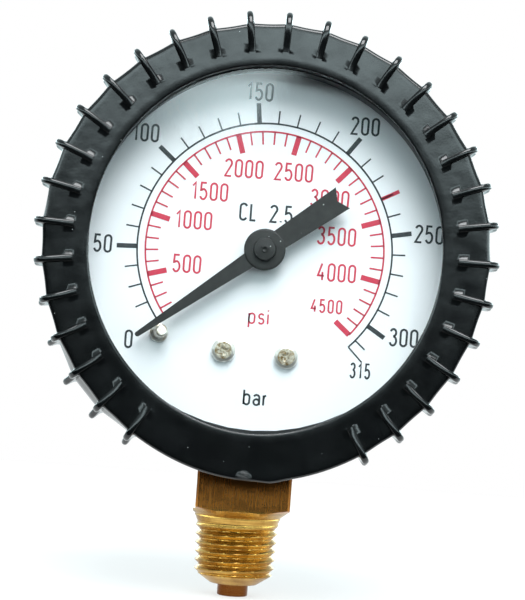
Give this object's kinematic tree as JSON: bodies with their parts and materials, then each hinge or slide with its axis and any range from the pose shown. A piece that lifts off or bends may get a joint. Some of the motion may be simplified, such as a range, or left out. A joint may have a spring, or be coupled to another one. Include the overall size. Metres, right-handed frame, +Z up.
{
  "type": "pressure gauge",
  "caption": "Round dial pressure gauge in a ribbed rubber boot: brass bottom connection, C-form Bourdon tube, geared movement and a long dark pointer.",
  "frame": {"origin": "on the connection thread's axis, at the thread's end face", "axes": "+Z up from the thread through the stem to the head, the dial faces -Y, +X to the reader's right"},
  "size_m": [0.074, 0.0323, 0.093],
  "materials": {
    "rubber": "satin black rubber with fine dust",
    "black_steel": "black paint, semi-gloss",
    "window": "clear, glossy, flat",
    "dial_white": "matte white",
    "nickel": "warm nickel plate, lightly stained",
    "steel": "turned steel",
    "brass": "turned and milled brass, slightly tarnished",
    "movement_brass": "stamped brass",
    "bronze": "drawn bronze tube",
    "grey_plastic": "moulded dark grey, fine texture"
  },
  "bodies": {
    "housing": {"rubber_boot": "rubber", "window_gasket": "rubber", "blowout_plug": "rubber", "case_cup": "black_steel", "bezel_ring": "black_steel", "window": "window", "dial": "dial_white", "stop_pin": "nickel", "dial_screw_left": "nickel", "dial_screw_right": "nickel", "case_screw_left": "steel", "case_screw_right": "steel", "movement_screw_left": "steel", "movement_screw_right": "steel", "plate_screw_left": "steel", "plate_screw_right": "steel", "socket": "brass", "restrictor_screw": "movement_brass", "dial_spacer_left": "movement_brass", "dial_spacer_right": "movement_brass", "movement_front_plate": "movement_brass", "movement_back_plate": "movement_brass", "upper_pillar_left": "movement_brass", "upper_pillar_right": "movement_brass", "lower_pillar_left": "movement_brass", "lower_pillar_right": "movement_brass", "hairspring_stud": "movement_brass", "bourdon_tube": "bronze", "hairspring": "bronze"},
    "pointer_train": {"pointer": "grey_plastic", "pointer_bush": "grey_plastic", "pinion_arbor": "steel", "hairspring_collet": "movement_brass"},
    "sector": {"sector_gear": "movement_brass", "sector_arbor": "steel", "tail_pin": "steel"},
    "tube_end": {"tube_tip": "movement_brass", "tip_pin": "steel"},
    "link_arm": {"link": "movement_brass"}
  },
  "joints": [
    {"name": "pointer_spindle", "type": "hinge", "parent": "housing", "child": "pointer_train", "pos_m": [0.0012, 0, 0.054], "axis": [0, 1, 0], "range_deg": [0, 264], "stiffness_Nm_per_rad": 0.00003, "springref_deg": -28.65, "deforming": ["hairspring"]},
    {"name": "sector_pivot", "type": "hinge", "parent": "housing", "child": "sector", "pos_m": [0.0012, 0, 0.042], "axis": [0, 1, 0], "range_deg": [-37.8, 0]},
    {"name": "tube_flex", "type": "hinge", "parent": "housing", "child": "tube_end", "pos_m": [-0.00212, 0, 0.05963], "axis": [0, 1, 0], "range_deg": [-6.62, 0], "stiffness_Nm_per_rad": 0.002, "deforming": ["bourdon_tube"]},
    {"name": "link_pivot", "type": "hinge", "parent": "tube_end", "child": "link_arm", "pos_m": [0.01832, 0, 0.04844], "axis": [0, 1, 0], "range_deg": [0, 3.5]}
  ],
  "couplings": [
    {"joint": "sector_pivot", "follows": "pointer_spindle", "ratio": -0.14286},
    {"joint": "tube_flex", "follows": "pointer_spindle", "ratio": -0.025003},
    {"joint": "link_pivot", "follows": "pointer_spindle", "ratio": 0.013143}
  ]
}
